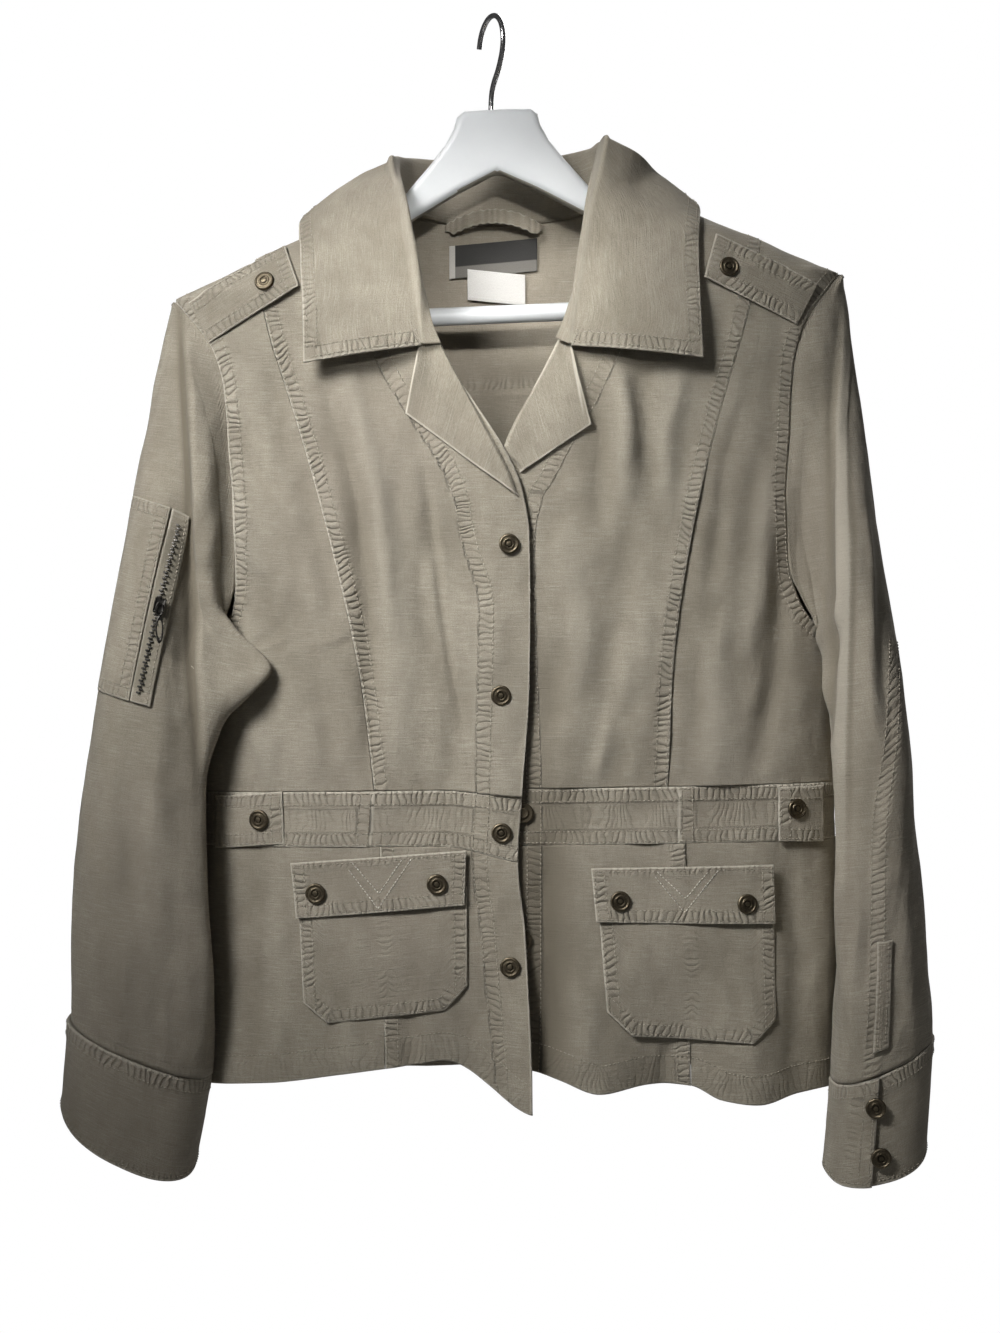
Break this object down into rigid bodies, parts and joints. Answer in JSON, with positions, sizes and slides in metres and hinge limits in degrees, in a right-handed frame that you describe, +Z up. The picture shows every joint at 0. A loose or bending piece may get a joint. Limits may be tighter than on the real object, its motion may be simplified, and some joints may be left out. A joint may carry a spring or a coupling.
{
  "type": "utility jacket on a hanger",
  "caption": "Cotton utility jacket with collar, shoulder tabs, snap front, flap pockets and a zipped sleeve pocket, hanging open at neck, hem and cuffs on a white hanger.",
  "frame": {"origin": "inside top of the hanger's hook, where a rail carries it", "axes": "+Z up, -Y out of the jacket's front, +X towards the wearer's left"},
  "size_m": [0.6103, 0.1604, 0.8234],
  "materials": {
    "cloth": "washed khaki cotton with slubs and faded seams",
    "tape": "woven zip tape",
    "label": "blank dark woven label",
    "tag": "blank white tag",
    "brass": "antique brass",
    "gunmetal": "dark gunmetal plating",
    "steel": "bright steel wire",
    "hanger": "white satin paint"
  },
  "bodies": {
    "jacket": {"back_lower": "cloth", "back_upper": "cloth", "back_yoke": "cloth", "care_tag": "tag", "collar": "cloth", "cuff_L": "cloth", "cuff_R": "cloth", "epaulette_L": "cloth", "epaulette_R": "cloth", "flap_L": "cloth", "flap_R": "cloth", "front_centre_lower_L": "cloth", "front_centre_lower_R": "cloth", "front_centre_upper_L": "cloth", "front_centre_upper_R": "cloth", "front_side_lower_L": "cloth", "front_side_lower_R": "cloth", "front_side_upper_L": "cloth", "front_side_upper_R": "cloth", "hanger_bar": "hanger", "hanger_body": "hanger", "hanger_hook": "steel", "hanger_loop": "cloth", "lapel_L": "cloth", "lapel_R": "cloth", "neck_label": "label", "pocket_L": "cloth", "pocket_R": "cloth", "side_tab_L": "cloth", "side_tab_R": "cloth", "sleeve_L": "cloth", "sleeve_R": "cloth", "sleeve_placket_L": "cloth", "sleeve_pocket": "cloth", "snap_cuff_L_1": "brass", "snap_cuff_L_2": "brass", "snap_epaulette_L": "brass", "snap_epaulette_R": "brass", "snap_flap_L_1": "brass", "snap_flap_L_2": "brass", "snap_flap_R_1": "brass", "snap_flap_R_2": "brass", "snap_front_1": "brass", "snap_front_2": "brass", "snap_front_3": "brass", "snap_front_4": "brass", "snap_tab_L": "brass", "snap_tab_R": "brass", "stud_front_1": "brass", "stud_front_2": "brass", "stud_front_3": "brass", "stud_front_4": "brass", "waistband_back": "cloth", "waistband_front_L": "cloth", "waistband_front_R": "cloth", "zip_slider": "gunmetal", "zip_tape": "tape", "zip_teeth": "gunmetal"},
    "pull_tab": {"zip_pull": "gunmetal"}
  },
  "joints": [
    {"name": "zip_pull_hinge", "type": "hinge", "parent": "jacket", "child": "pull_tab", "pos_m": [-0.22657, -0.0728, -0.42176], "axis": [-0.992, -0.1266, 0], "range_deg": [0, 165]}
  ]
}
